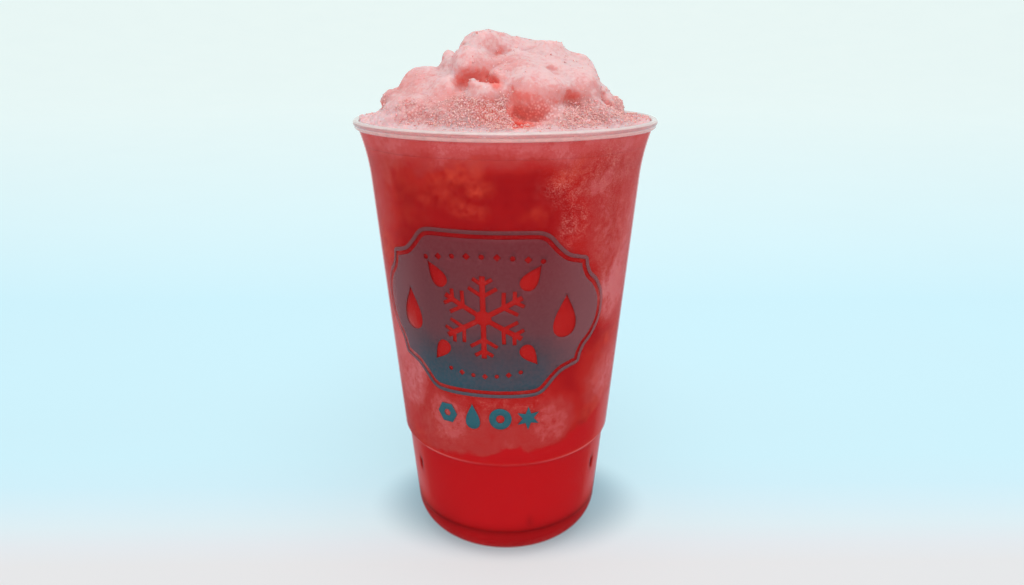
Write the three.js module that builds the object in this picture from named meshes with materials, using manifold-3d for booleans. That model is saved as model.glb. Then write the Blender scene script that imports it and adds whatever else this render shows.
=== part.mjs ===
import * as THREE from 'three';
import { mergeVertices } from 'three/addons/utils/BufferGeometryUtils.js';
import Module from 'manifold-3d';

// Frozen tea in a clear plastic cup: clear melt at the bottom, slush above it, and a crown of slush on top.
// Lengths are millimetres and +Z is up. The origin is the middle of the foot, on the table.

// Cup
const cupHeight = 148.6;
const wallThickness = 0.8;
const cupSides = 64;

const footInner = 20;
const footOuter = 22.5;
const panelRise = 2.4;
const panelRadius = 16.5;
const heelHeight = 11;
const heelTopRadius = 33.5;
const heelSteps = 7;

const ledgeHeight = 39.4;
const ledgeRise = 1.6;
const underLedgeRadius = 35.9;
const wallFootRadius = 37.1;
const wallTaper = 0.08;
const midWall = 80;

const flareStart = 130;
const flareGain = 1.75;

const rimOuterRadius = 49;
const rimHalfWidth = 1.1;
const rimHalfHeight = 1.75;
const rimSteps = 10;

const lugCount = 3;
const lugFirstAngle = 90;
const lugHeight = 30;
const lugDepth = 0.45;
const lugSize = { radial: 1.2, across: 1.3, tall: 2.8 };

// Filling
const gap = 0.3;
const fillSides = 48;
const crownFloor = 140.5;

const meltLevel = 44;
const meltSurge = { height: 15, angle: -12, spread: 30 };
const meltRipples = [
  { height: 1.1, turns: 3, phase: 0.6 },
  { height: 0.7, turns: 7, phase: 2.1 },
];
const meltMiddleLevel = 45;
const surfaceParts = [0.75, 0.4];

// Crown of slush. Each lump is an ellipsoid: its middle, its half sizes and how softly it joins the rest.
const crownSides = 96;
const crownRings = 29;
const crownGap = 0.6;
const crownRiseEvenness = 0.62;
const evenPasses = 2;
const march = { start: 60, share: 0.6, least: 0.02, most: 200 };
const core = [
  { at: [0, 4, 146], half: [31, 29, 19.5], soft: 2.6 },
  { at: [0, 0, 141], half: [60, 60, 10.8], soft: 4 },
];
const shownLumps = {
  top: { at: [-5.9, -1, 169.4], half: [8.2, 8, 5.5], soft: 1.8 },
  topRight: { at: [3.5, 3, 167.2], half: [8.5, 9, 5.9], soft: 3 },
  topFill: { at: [4, -8, 165], half: [4.5, 5, 3.6], soft: 4 },
  creaseFill: { at: [0.8, -12, 165.2], half: [3.5, 4, 3], soft: 3 },
  leftCentre: { at: [-9.9, -10, 163.7], half: [7.6, 9.5, 6], soft: 2.6 },
  leftHorn: { at: [-17.6, -2, 166.3], half: [2, 3.6, 2.9], soft: 1.2 },
  hornFront: { at: [-16, -6.5, 163.4], half: [4, 5, 3.6], soft: 3 },
  leftNeck: { at: [-16.6, -6, 162.2], half: [2.6, 6, 4.2], soft: 2 },
  frontBall: { at: [8.6, -22.5, 156.9], half: [9.1, 9.8, 7.8], soft: 2 },
  ballNeck: { at: [-1.8, -21.4, 159.8], half: [3.2, 5, 4.4], soft: 3 },
  ballBack: { at: [4.5, -15, 162], half: [7.5, 7.5, 4.4], soft: 4 },
  shelf: { at: [-6.4, -24.5, 154], half: [7, 8.4, 5.4], soft: 3 },
  shelfFront: { at: [-7, -29, 152.6], half: [8, 6, 4.6], soft: 4 },
  foamBank: { at: [-9, -31.5, 149.4], half: [9, 7, 3.6], soft: 4 },
  crestPeak: { at: [-9.3, -27.8, 159.4], half: [1.6, 2.4, 2.3], soft: 1.4 },
  leftMass: { at: [-23.4, -6, 158.5], half: [9.4, 9.5, 5.7], soft: 2.5 },
  leftFill: { at: [-16.2, -14, 157.2], half: [5.6, 8, 5.2], soft: 4 },
  farLeft: { at: [-33.6, -5, 154.5], half: [5.6, 7.5, 3.5], soft: 1.6 },
  leftApron: { at: [-24, -17, 152.6], half: [11, 9, 5.6], soft: 5 },
  leftSlope: { at: [-26, -15, 148.6], half: [13.6, 13, 5.2], soft: 4 },
  leftBank: { at: [-14.2, -24, 151.1], half: [7.6, 9, 6.5], soft: 4 },
  leftLobe: { at: [-42.6, -5, 148.2], half: [4.4, 4.5, 2], soft: 1.6 },
  rightMass: { at: [12.8, 1, 163.8], half: [8.6, 12, 8.5], soft: 3 },
  rightShoulder: { at: [22.4, -2, 159.3], half: [7.3, 10, 8.5], soft: 3 },
  rightBand: { at: [13.6, -12, 161], half: [7.3, 8, 5.4], soft: 3.5 },
  rightStep: { at: [28.2, -5, 156.4], half: [4.3, 6, 3.5], soft: 1.8 },
  rightLump: { at: [22.3, -14.5, 159], half: [6.2, 8, 5.6], soft: 3.2 },
  rightFill: { at: [25.5, -12, 154], half: [6, 8, 5.4], soft: 4 },
  rightEdge: { at: [31.4, -7, 150.6], half: [6, 9, 5.1], soft: 2.4 },
  rightFoot: { at: [25.6, -20, 149], half: [9, 9, 5.1], soft: 2.6 },
  pitFill: { at: [18.5, -18, 155.8], half: [7, 7.4, 6.2], soft: 4 },
};
// A fold that hangs under the top lump like a smile, and the crest of the foam in front of the valley
const ridges = {
  fold: {
    count: 7, start: [-11.5, -9, 168], end: [2.6, -9, 167.8], sag: [0.6, -3, -3.2],
    half: [3, 4, 2.2], soft: 2.2,
  },
  crest: {
    count: 6, start: [-9.6, -27, 157.8], end: [-3, -28.2, 156], sag: [0, -0.4, -0.2],
    half: [2, 3, 2.2], soft: 3,
  },
};
const backRows = [
  { count: 7, from: 24, to: 158, reach: 29, level: 151.6, half: 7.4, tall: 6.8, phase: 0 },
  { count: 4, from: 28, to: 136, reach: 18, level: 159, half: 8.2, tall: 7.4, phase: 1.3 },
];
const backSoft = 3.2;
const backDrift = { turn: 2.4, wide: 0.9, tall: 0.8, level: 1.2 };
const hollows = {
  dimple: { at: [-0.9, -11.6, 170], half: [3, 4, 1.5], soft: 4 },
  valleyLeft: { at: [-13, -22.6, 159.8], half: [2, 3.6, 1.7], soft: 2.6 },
  valleyMiddle: { at: [-8.4, -21.8, 161.4], half: [3.4, 3.4, 1.6], soft: 3 },
  valleyRight: { at: [-3.9, -22.6, 159.8], half: [2.1, 3.8, 2], soft: 2.4 },
  rightPit: { at: [19.4, -26, 155.9], half: [2.2, 3.4, 1.8], soft: 1.6 },
  rightGroove: { at: [30.4, -16, 154.6], half: [1.3, 2.2, 3.4], soft: 3 },
};
const sway = [
  { size: 0.4, along: [0.27, 0.23], phase: 1 },
  { size: 0.22, along: [-0.31, 0.57], phase: 2 },
];
const swayPhases = { x: 0, y: 2, z: 4 };

// Materials
const cupMaterial = new THREE.MeshStandardMaterial({
  color: 0xf2dcd8, roughness: 0.12, metalness: 0, transparent: true, opacity: 0.35,
});
const meltMaterial = new THREE.MeshStandardMaterial({ color: 0xb61a20, roughness: 0.2, metalness: 0 });
const slushMaterial = new THREE.MeshStandardMaterial({ color: 0xb02a30, roughness: 0.45, metalness: 0 });
const crownMaterial = new THREE.MeshStandardMaterial({ color: 0xeaa6a4, roughness: 0.6, metalness: 0 });

const wasm = await Module();
wasm.setup();

// Evenly spread numbers, with both ends
function spread(count, from, to) {
  return Array.from({ length: count }, (_, i) => from + (to - from) * i / (count - 1));
}

// Solids for cutting and joining
function toSolid(geometry) {
  const bare = geometry.clone();
  bare.deleteAttribute('normal');
  bare.deleteAttribute('uv');
  const merged = mergeVertices(bare, 1e-4);
  return new wasm.Manifold(new wasm.Mesh({
    numProp: 3,
    vertProperties: new Float32Array(merged.attributes.position.array),
    triVerts: new Uint32Array(merged.index.array),
  }));
}

function toGeometry(solid) {
  const mesh = solid.getMesh();
  const geometry = new THREE.BufferGeometry();
  geometry.setAttribute('position', new THREE.BufferAttribute(mesh.vertProperties, 3));
  geometry.setIndex(new THREE.BufferAttribute(mesh.triVerts, 1));
  geometry.computeVertexNormals();
  return geometry;
}

const flareTop = cupHeight - 2 * rimHalfHeight;
const wallFoot = ledgeHeight + ledgeRise;
const flareHeights = spread(5, flareStart, flareTop);
const wallHeights = [ledgeHeight, wallFoot, midWall, ...flareHeights];

// Cup wall: the outer radius at a height, from the heel to the rim
function outerRadius(z) {
  if (z < heelHeight) {
    const drop = heelHeight - z;
    return footOuter + (heelTopRadius - footOuter) * Math.sqrt(1 - (drop / heelHeight) ** 2);
  }
  if (z < ledgeHeight) {
    const part = (z - heelHeight) / (ledgeHeight - heelHeight);
    return heelTopRadius + (underLedgeRadius - heelTopRadius) * part;
  }
  if (z < wallFoot) {
    return underLedgeRadius + (wallFootRadius - underLedgeRadius) * ((z - ledgeHeight) / ledgeRise);
  }
  const straight = wallFootRadius + wallTaper * (z - wallFoot);
  const flare = Math.max(0, z - flareStart) / (flareTop - flareStart);
  return straight + flareGain * flare ** 2;
}

function innerRadius(z) {
  return outerRadius(z) - wallThickness;
}

// The rounded heel, between the foot and the base wall, inside a shell of the given thickness
function heelArc(steps, inset) {
  return spread(steps, 0, Math.PI / 2).map((turn) => new THREE.Vector2(
    footOuter + (heelTopRadius - footOuter - inset) * Math.sin(turn),
    heelHeight - (heelHeight - inset) * Math.cos(turn),
  ));
}

function wallPoints(heights, radiusAt) {
  return heights.map((z) => new THREE.Vector2(radiusAt(z), z));
}

function rimArc() {
  const middle = new THREE.Vector2(rimOuterRadius - rimHalfWidth, cupHeight - rimHalfHeight);
  return spread(rimSteps, -Math.PI / 2, Math.PI).map((turn) => new THREE.Vector2(
    middle.x + rimHalfWidth * Math.cos(turn),
    middle.y + rimHalfHeight * Math.sin(turn),
  ));
}

function cupProfile() {
  const outside = [
    new THREE.Vector2(0, panelRise),
    new THREE.Vector2(panelRadius, panelRise),
    new THREE.Vector2(footInner, 0),
    ...heelArc(heelSteps, 0),
    ...wallPoints(wallHeights, outerRadius),
  ];
  const inside = [
    ...wallPoints([...wallHeights].reverse(), innerRadius),
    ...heelArc(heelSteps, wallThickness).reverse(),
    new THREE.Vector2(footInner, wallThickness),
    new THREE.Vector2(panelRadius, panelRise + wallThickness),
    new THREE.Vector2(0, panelRise + wallThickness),
  ];
  return [...outside, ...rimArc(), ...inside];
}

// Three shallow stacking lugs pressed into the base wall
function lugCutter(index) {
  const shape = new THREE.SphereGeometry(1, 12, 8);
  shape.scale(lugSize.radial, lugSize.across, lugSize.tall);
  shape.translate(outerRadius(lugHeight) + lugSize.radial - lugDepth, 0, lugHeight);
  shape.rotateZ(THREE.MathUtils.degToRad(lugFirstAngle + index * 360 / lugCount));
  return toSolid(shape);
}

function makeCup() {
  const shell = new THREE.LatheGeometry(cupProfile(), cupSides);
  shell.rotateX(Math.PI / 2);
  let cup = toSolid(shell);
  for (let i = 0; i < lugCount; i += 1) {
    cup = cup.subtract(lugCutter(i));
  }
  return new THREE.Mesh(toGeometry(cup), cupMaterial);
}

// A closed solid from rings of points, which close to one point at each end. Leaning says which way the
// four-sided faces are split, so that two surfaces that lie on each other can be split alike.
function ringSolid(rings, bottom, top, leaning = false) {
  const sides = rings[0].length;
  const points = [bottom, ...rings.flat(), top];
  const faces = [];
  const last = points.length - 1;
  const at = (ring, side) => 1 + ring * sides + side % sides;
  for (let side = 0; side < sides; side += 1) {
    faces.push(0, at(0, side + 1), at(0, side));
    for (let ring = 0; ring < rings.length - 1; ring += 1) {
      const near = [at(ring, side), at(ring, side + 1)];
      const far = [at(ring + 1, side), at(ring + 1, side + 1)];
      if (leaning) {
        faces.push(near[0], near[1], far[0], near[1], far[1], far[0]);
      } else {
        faces.push(near[0], near[1], far[1], near[0], far[1], far[0]);
      }
    }
    faces.push(last, at(rings.length - 1, side), at(rings.length - 1, side + 1));
  }
  const geometry = new THREE.BufferGeometry();
  geometry.setAttribute('position', new THREE.BufferAttribute(new Float32Array(points.flat()), 3));
  geometry.setIndex(faces);
  geometry.computeVertexNormals();
  return geometry;
}

// A ring of points round the axis, with its radius and height worked out for each angle
function ringAt(sides, radiusAt, heightAt) {
  return spread(sides + 1, 0, 2 * Math.PI).slice(0, sides).map((angle) => {
    const height = heightAt(angle);
    const radius = radiusAt(height, angle);
    return [radius * Math.cos(angle), radius * Math.sin(angle), height];
  });
}

// Where the clear melt ends and the slush starts, at the wall: it surges up on the right of the front
function meltEdge(angle) {
  const away = THREE.MathUtils.radToDeg(angle) - meltSurge.angle;
  const turn = ((away + 540) % 360) - 180;
  const surge = meltSurge.height * Math.exp(-((turn / meltSurge.spread) ** 2));
  const ripple = meltRipples.reduce((sum, r) => sum + r.height * Math.sin(r.turns * angle + r.phase), 0);
  return meltLevel + surge + ripple;
}

// The same surface further in: it evens out towards the middle
function meltSurface(angle, part) {
  return meltMiddleLevel + (meltEdge(angle) - meltMiddleLevel) * part ** 2;
}

function fillRadius(z) {
  return innerRadius(z) - gap;
}

function surfaceRings(lift) {
  return surfaceParts.map((part) => ringAt(
    fillSides,
    (z, angle) => part * fillRadius(meltEdge(angle)),
    (angle) => meltSurface(angle, part) + lift,
  ));
}

function makeMelt() {
  const inset = wallThickness + gap;
  const floor = [
    [panelRadius, panelRise + inset],
    [footInner, inset],
    ...heelArc(heelSteps, inset).map((p) => [p.x, p.y]),
  ].map(([radius, z]) => ringAt(fillSides, () => radius, () => z));
  const wall = [ledgeHeight - gap, wallFoot].map((z) => ringAt(fillSides, fillRadius, () => z));
  const edge = ringAt(fillSides, fillRadius, meltEdge);
  const rings = [...floor, ...wall, edge, ...surfaceRings(0)];
  return new THREE.Mesh(
    ringSolid(rings, [0, 0, panelRise + inset], [0, 0, meltMiddleLevel]),
    meltMaterial,
  );
}

function makeSlush() {
  const edge = ringAt(fillSides, fillRadius, (angle) => meltEdge(angle) + gap);
  const heights = [midWall, ...flareHeights.filter((z) => z < crownFloor - 1), crownFloor - gap];
  const wall = heights.map((z) => ringAt(fillSides, fillRadius, () => z));
  const rings = [...surfaceRings(gap).reverse(), edge, ...wall];
  return new THREE.Mesh(
    ringSolid(rings, [0, 0, meltMiddleLevel + gap], [0, 0, crownFloor - gap], true),
    slushMaterial,
  );
}

// Crown: the distance from a point to an ellipsoid, near its surface
function ellipsoidDistance(point, lump) {
  let scaled = 0;
  let slope = 0;
  for (let i = 0; i < 3; i += 1) {
    const offset = point[i] - lump.at[i];
    scaled += (offset / lump.half[i]) ** 2;
    slope += (offset / lump.half[i] ** 2) ** 2;
  }
  const reach = Math.sqrt(scaled);
  return reach * (reach - 1) / Math.max(Math.sqrt(slope), 1e-9);
}

function softMin(a, b, soft) {
  const overlap = Math.max(soft - Math.abs(a - b), 0) / soft;
  return Math.min(a, b) - overlap ** 2 * soft / 4;
}

function softMax(a, b, soft) {
  return -softMin(-a, -b, soft);
}

// Lumps in a row along a ridge that sags in its middle
function ridgeLumps(ridge) {
  return spread(ridge.count, 0, 1).map((part) => {
    const dip = 1 - (2 * part - 1) ** 2;
    return {
      at: ridge.start.map((v, i) => v + (ridge.end[i] - v) * part + ridge.sag[i] * dip),
      half: ridge.half,
      soft: ridge.soft,
    };
  });
}

// Rows of uneven lumps round the back of the core
function backLumps() {
  return backRows.flatMap((row) => spread(row.count, row.from, row.to).map((degrees, i) => {
    const angle = THREE.MathUtils.degToRad(degrees);
    const drift = Math.sin(i * backDrift.turn + row.phase);
    const wide = row.half + backDrift.wide * drift;
    const level = row.level + backDrift.level * drift;
    return {
      at: [row.reach * Math.cos(angle), row.reach * Math.sin(angle), level],
      half: [wide, wide, row.tall + backDrift.tall * drift],
      soft: backSoft,
    };
  }));
}

const lumps = [
  ...core,
  ...Object.values(shownLumps),
  ...Object.values(ridges).flatMap(ridgeLumps),
  ...backLumps(),
];

// Slow waves that bend the lumps, so that none of them is a clean ellipsoid
function swayed([x, y, z]) {
  const wave = (a, b, start) => sway.reduce(
    (sum, s) => sum + s.size * Math.sin(s.along[0] * a + s.along[1] * b + s.phase + start),
    0,
  );
  return [x + wave(y, z, swayPhases.x), y + wave(z, x, swayPhases.y), z + wave(x, -y, swayPhases.z)];
}

function crownDistance(point) {
  const bent = swayed(point);
  let distance = Infinity;
  for (const lump of lumps) {
    const next = ellipsoidDistance(bent, lump);
    distance = distance === Infinity ? next : softMin(distance, next, lump.soft);
  }
  for (const hollow of Object.values(hollows)) {
    distance = softMax(distance, -ellipsoidDistance(bent, hollow), hollow.soft);
  }
  return distance;
}

// How far the crown reaches from the middle of its floor, inside the mouth of the cup
function crownReach(angle, rise) {
  const toward = [Math.cos(angle) * Math.cos(rise), Math.sin(angle) * Math.cos(rise), Math.sin(rise)];
  const onRay = (length) => [toward[0] * length, toward[1] * length, crownFloor + toward[2] * length];
  const mouth = (length) => {
    const [x, y, z] = onRay(length);
    return Math.hypot(x, y) - (innerRadius(Math.min(z, flareTop)) - crownGap);
  };
  let reach = march.start;
  for (let step = 0; step < march.most; step += 1) {
    const distance = Math.max(crownDistance(onRay(reach)), mouth(reach));
    if (distance < march.least) {
      break;
    }
    reach -= Math.max(march.share * distance, march.least);
  }
  return reach;
}

// Evens out the steps between neighbouring reaches, where a lump overhangs
function evened(reaches) {
  return reaches.map((row, i) => row.map((reach, j) => {
    if (i === 0 || i === reaches.length - 1) {
      return reach;
    }
    const upAndDown = reaches[i + 1][j] + reaches[i - 1][j];
    const beside = row[(j + 1) % row.length] + row[(j + row.length - 1) % row.length];
    return reach / 2 + (upAndDown + beside) / 8;
  }));
}

function makeCrown() {
  const closer = (part) => crownRiseEvenness * part + (1 - crownRiseEvenness) * part ** 2;
  const rises = spread(crownRings, 0, 1).slice(0, -1).map((part) => (Math.PI / 2) * closer(part));
  const angles = spread(crownSides + 1, 0, 2 * Math.PI).slice(0, crownSides);
  let reaches = rises.map((rise) => angles.map((angle) => crownReach(angle, rise)));
  for (let pass = 0; pass < evenPasses; pass += 1) {
    reaches = evened(reaches);
  }
  const rings = rises.map((rise, i) => angles.map((angle, j) => {
    const radius = reaches[i][j] * Math.cos(rise);
    return [radius * Math.cos(angle), radius * Math.sin(angle), crownFloor + reaches[i][j] * Math.sin(rise)];
  }));
  const peak = crownFloor + crownReach(0, Math.PI / 2);
  return new THREE.Mesh(ringSolid(rings, [0, 0, crownFloor], [0, 0, peak]), crownMaterial);
}

const drink = new THREE.Group();
const pieces = { cup: makeCup(), melt: makeMelt(), slush: makeSlush(), crown: makeCrown() };
for (const [name, mesh] of Object.entries(pieces)) {
  mesh.name = name;
  drink.add(mesh);
}

export default drink;
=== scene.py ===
import math

import bpy
import numpy as np
import openvdb
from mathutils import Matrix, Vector
from mathutils.geometry import delaunay_2d_cdt


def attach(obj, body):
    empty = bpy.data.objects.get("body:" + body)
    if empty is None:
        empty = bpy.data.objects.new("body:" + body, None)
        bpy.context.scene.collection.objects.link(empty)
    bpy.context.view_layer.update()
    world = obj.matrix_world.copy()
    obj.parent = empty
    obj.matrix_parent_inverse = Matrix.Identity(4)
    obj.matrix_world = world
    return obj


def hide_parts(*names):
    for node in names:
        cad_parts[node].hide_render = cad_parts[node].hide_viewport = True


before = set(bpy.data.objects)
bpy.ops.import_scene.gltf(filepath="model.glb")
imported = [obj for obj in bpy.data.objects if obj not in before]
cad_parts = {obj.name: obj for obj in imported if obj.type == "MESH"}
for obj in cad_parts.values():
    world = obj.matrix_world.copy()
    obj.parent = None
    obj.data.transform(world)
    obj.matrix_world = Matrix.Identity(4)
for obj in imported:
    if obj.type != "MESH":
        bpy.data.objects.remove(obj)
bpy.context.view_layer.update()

# Shapes are worked out in millimetres and turned into metres when a mesh is made.
# Bearings are degrees round the cup: 0 faces the printed front (-Y), 90 is the drinker's right (+X).
mm = 0.001


def fromScreen(*levels):
    # a colour as seen on screen, 0 to 255, as the linear colour that shaders want
    levels = [v / 255 for v in levels]
    return tuple(v / 12.92 if v <= 0.04045 else ((v + 0.055) / 1.055) ** 2.4 for v in levels) + (1.0,)


# Node helpers

class Look:
    # A material and its nodes. Three numbers are a colour as seen on screen; one number in a ramp is a linear grey.

    def __init__(self, name):
        self.material = bpy.data.materials.new(name)
        self.material.use_nodes = True
        self.tree = self.material.node_tree
        self.shader = self.tree.nodes["Principled BSDF"]
        self.where = self.node("TexCoord")["Object"]
        self.across, self.depth, self.height = self.node("SeparateXYZ", {0: self.where})

    def plug(self, socket, value):
        if isinstance(value, bpy.types.NodeSocket):
            self.tree.links.new(value, socket)
        else:
            socket.default_value = fromScreen(*value) if isinstance(value, tuple) else value

    def node(self, kind, sockets=None, **settings):
        node = self.tree.nodes.new("ShaderNode" + kind)
        for key, value in settings.items():
            setattr(node, key, value)
        for key, value in (sockets or {}).items():
            self.plug(node.inputs[key], value)
        return node.outputs

    def give(self, sockets):
        for key, value in sockets.items():
            self.plug(self.shader.inputs[key], value)

    def sums(self, kind, first, *others, clamp=False):
        for i, other in enumerate(others, 1):
            first = self.node("Math", {0: first, 1: other}, operation=kind, use_clamp=clamp and i == len(others))[0]
        return first

    def plus(self, *values, clamp=False):
        return self.sums("ADD", *values, clamp=clamp)

    def minus(self, *values, clamp=False):
        return self.sums("SUBTRACT", *values, clamp=clamp)

    def times(self, *values, clamp=False):
        return self.sums("MULTIPLY", *values, clamp=clamp)

    def stretch(self, value, low, high, toLow=0.0, toHigh=1.0, curve="LINEAR"):
        return self.node("MapRange", {
            "Value": value, "From Min": low, "From Max": high, "To Min": toLow, "To Max": toHigh,
        }, interpolation_type=curve)[0]

    def mix(self, factor, first, second, blend="MIX"):
        return self.node("Mix", {0: factor, 6: first, 7: second}, data_type="RGBA", blend_type=blend)[2]

    def ramp(self, factor, stops, smooth=True):
        node = self.tree.nodes.new("ShaderNodeValToRGB")
        self.plug(node.inputs["Fac"], factor)
        node.color_ramp.interpolation = "EASE" if smooth else "LINEAR"
        marks = node.color_ramp.elements
        while len(marks) < len(stops):
            marks.new(0.5)
        for mark, (part, tone) in zip(marks, stops):
            mark.position = part
            mark.color = fromScreen(*tone) if isinstance(tone, tuple) else (tone, tone, tone, 1)
        return node.outputs["Color"]

    def painted(self, name):
        return self.node("Attribute", attribute_name=name)["Fac"]

    def facing(self):
        return self.node("LayerWeight", {"Blend": 0.5})["Facing"]

    def noise(self, perMetre, detail=3.0, rough=0.55, swirl=0.0):
        return self.node("TexNoise", {
            "Vector": self.where, "Scale": perMetre, "Detail": detail, "Roughness": rough, "Distortion": swirl,
        })["Fac"]

    def cells(self, perMetre):
        return self.node("TexVoronoi", {"Vector": self.where, "Scale": perMetre})["Distance"]


# Mesh helpers

def makePiece(name, points, faces, material, nodes=()):
    mesh = bpy.data.meshes.new(name)
    mesh.from_pydata((np.asarray(points) * mm).tolist(), [], [list(f) for f in faces])
    mesh.validate()
    mesh.polygons.foreach_set("use_smooth", [True] * len(mesh.polygons))
    mesh.materials.append(material)
    piece = bpy.data.objects.new(name, mesh)
    bpy.context.scene.collection.objects.link(piece)
    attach(piece, "root")
    if nodes:
        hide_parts(*nodes)
    return piece


def storeValues(piece, name, values):
    layer = piece.data.attributes.new(name, "FLOAT", "POINT")
    layer.data.foreach_set("value", np.asarray(values, np.float32).ravel())


noiseTable = np.random.default_rng(11).random((64, 64, 64)) * 2 - 1


def blended(grid, spots, smooth=False):
    # values between the points of a grid, which starts again past its ends
    cell = np.floor(spots).astype(int)
    part = spots - cell
    if smooth:
        part = part * part * (3 - 2 * part)
    total = np.zeros(spots.shape[:-1])
    for corner in np.ndindex(2, 2, 2):
        weight = np.prod(np.where(np.array(corner) == 1, part, 1 - part), axis=-1)
        total += weight * grid[tuple(np.moveaxis((cell + corner) % grid.shape, -1, 0))]
    return total


def softNoise(points, size, shift=0.0):
    # smooth noise from -1 to 1 with lumps of about this size
    return blended(noiseTable, np.asarray(points, float) / size + shift, smooth=True)


def easeBetween(low, high, value):
    part = np.clip((value - low) / (high - low), 0, 1)
    return part * part * (3 - 2 * part)


def bump(value, middle, width):
    # 1 at the middle, falling softly to 0 on both sides
    return np.exp(-((value - middle) / width) ** 2)


# Camera, lights and floor

cameraSetup = {
    "at": (0, -241.86, 169.71), "tilt": 18.722, "turn": -0.509,
    "lens": 25.37, "sensor": 36, "nearest": 0.01, "farthest": 50,
}


def setCamera():
    lens = bpy.data.cameras.new("photoCamera")
    lens.lens, lens.sensor_width = cameraSetup["lens"], cameraSetup["sensor"]
    lens.clip_start, lens.clip_end = cameraSetup["nearest"], cameraSetup["farthest"]
    camera = bpy.data.objects.new("photoCamera", lens)
    camera.location = Vector(cameraSetup["at"]) * mm
    camera.rotation_euler = (math.radians(90 - cameraSetup["tilt"]), 0, math.radians(cameraSetup["turn"]))
    bpy.context.scene.collection.objects.link(camera)
    bpy.context.scene.camera = camera


studio = {
    "sky": (244, 252, 255), "skyStrength": 0.62,
    "lampTint": (1.0, 0.98, 0.97),
    "lamps": {
        "overheadSoftbox": {"at": (0.06, -0.36, 1.0), "aim": (0, 0, 0.1), "size": 0.8, "power": 5.0},
        "frontFill": {"at": (0.05, -1.0, 0.72), "aim": (0, 0, 0.09), "size": 1.0, "power": 3.2},
    },
    # the floor's colours from in front of the cup to behind it, and far away
    "frontEdge": -0.05, "backEdge": 0.045,
    "floorTones": [(0.16, (231, 231, 232)), (0.27, (229, 234, 238)), (0.39, (223, 239, 244)),
                   (0.52, (216, 240, 248)), (0.67, (209, 241, 251)), (0.9, (207, 243, 253))],
    "wallColour": (246, 255, 250), "wallFrom": 0.5, "wallTo": 1.0,
    "wallGlow": 0.095, "glowFrom": 0.2, "glowTo": 0.95, "cameraReach": 0.24,
    "mottleSize": 9, "mottleTone": (212, 226, 232),
    "ownGlow": 0.62, "ownLevel": 0.97,
    "shadeAt": (0.001, 0.004), "shadeFrom": 0.056, "shadeTo": 0.033, "shadeTint": (196, 204, 209),
    "shadeSquash": 1.4,
    "sides": 96, "flatReach": 2.0, "bend": 4.0, "bendDegrees": 25, "rise": 3.0,
}


def makeFloorMaterial():
    look = Look("paleFloor")
    fade = look.stretch(look.depth, studio["frontEdge"], studio["backEdge"])
    plain = look.ramp(fade, studio["floorTones"], smooth=False)
    # how far up the picture a spot of the floor comes to lie, from 0 beside the cup to 1 far away
    rise = look.sums("DIVIDE", look.depth, look.plus(look.depth, studio["cameraReach"]))
    rise = look.times(rise, look.sums("GREATER_THAN", look.depth, 0.0))
    plain = look.mix(look.stretch(rise, studio["wallFrom"], studio["wallTo"]), plain, studio["wallColour"])
    mottle = look.noise(studio["mottleSize"], 2)
    plain = look.mix(look.stretch(mottle, 0.3, 0.7, 0, 0.05), plain, studio["mottleTone"])
    # painted shadow: the floor is darker close round the foot
    across = look.minus(look.across, studio["shadeAt"][0])
    along = look.times(look.minus(look.depth, studio["shadeAt"][1]), studio["shadeSquash"])
    away = look.sums("POWER", look.plus(look.times(across, across), look.times(along, along)), 0.5)
    shade = look.stretch(away, studio["shadeFrom"], studio["shadeTo"], curve="SMOOTHSTEP")
    plain = look.mix(shade, plain, studio["shadeTint"], "MULTIPLY")
    # more than half of its brightness is its own, which keeps the shadows soft
    glow = look.stretch(rise, studio["glowFrom"], studio["glowTo"], 0.0, studio["wallGlow"])
    look.give({
        "Base Color": look.mix(studio["ownGlow"], plain, (0, 0, 0)), "Roughness": 0.75, "Specular IOR Level": 0.2,
        "Emission Color": plain, "Emission Strength": look.plus(glow, studio["ownGlow"] * studio["ownLevel"]),
    })
    return look.material


def setStudio():
    scene = bpy.context.scene
    scene.view_settings.view_transform = "Standard"
    scene.view_settings.look = "None"
    world = bpy.data.worlds.new("paleStudio")
    world.use_nodes = True
    backdrop = world.node_tree.nodes["Background"]
    backdrop.inputs["Color"].default_value = fromScreen(*studio["sky"])
    backdrop.inputs["Strength"].default_value = studio["skyStrength"]
    scene.world = world

    for name, lamp in studio["lamps"].items():
        light = bpy.data.lights.new(name, "AREA")
        light.shape = "DISK"
        light.size = lamp["size"]
        light.energy = lamp["power"]
        light.color = studio["lampTint"]
        stand = bpy.data.objects.new(name, light)
        stand.location = lamp["at"]
        toward = Vector(lamp["aim"]) - Vector(lamp["at"])
        stand.rotation_euler = toward.to_track_quat("-Z", "Y").to_euler()
        scene.collection.objects.link(stand)

    # a round floor that bends up into a slope far away
    bend, sides = studio["bend"], studio["sides"]
    turns = np.radians(np.linspace(0, studio["bendDegrees"], 24))
    profile = [(0.3, 0), (1.0, 0)] + [
        (studio["flatReach"] + bend * math.sin(t), bend * (1 - math.cos(t))) for t in turns]
    profile.append((profile[-1][0] + studio["rise"] * math.cos(turns[-1]),
                    profile[-1][1] + studio["rise"] * math.sin(turns[-1])))
    points, faces = turned(profile, sides)
    mesh = bpy.data.meshes.new("floor")
    mesh.from_pydata(points.tolist(), [], [list(range(sides))] + [face[::-1] for face in faces])
    mesh.polygons.foreach_set("use_smooth", [True] * len(mesh.polygons))
    mesh.materials.append(makeFloorMaterial())
    floor = bpy.data.objects.new("floor", mesh)
    scene.collection.objects.link(floor)
    print("studio ready")


# Cup

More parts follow.
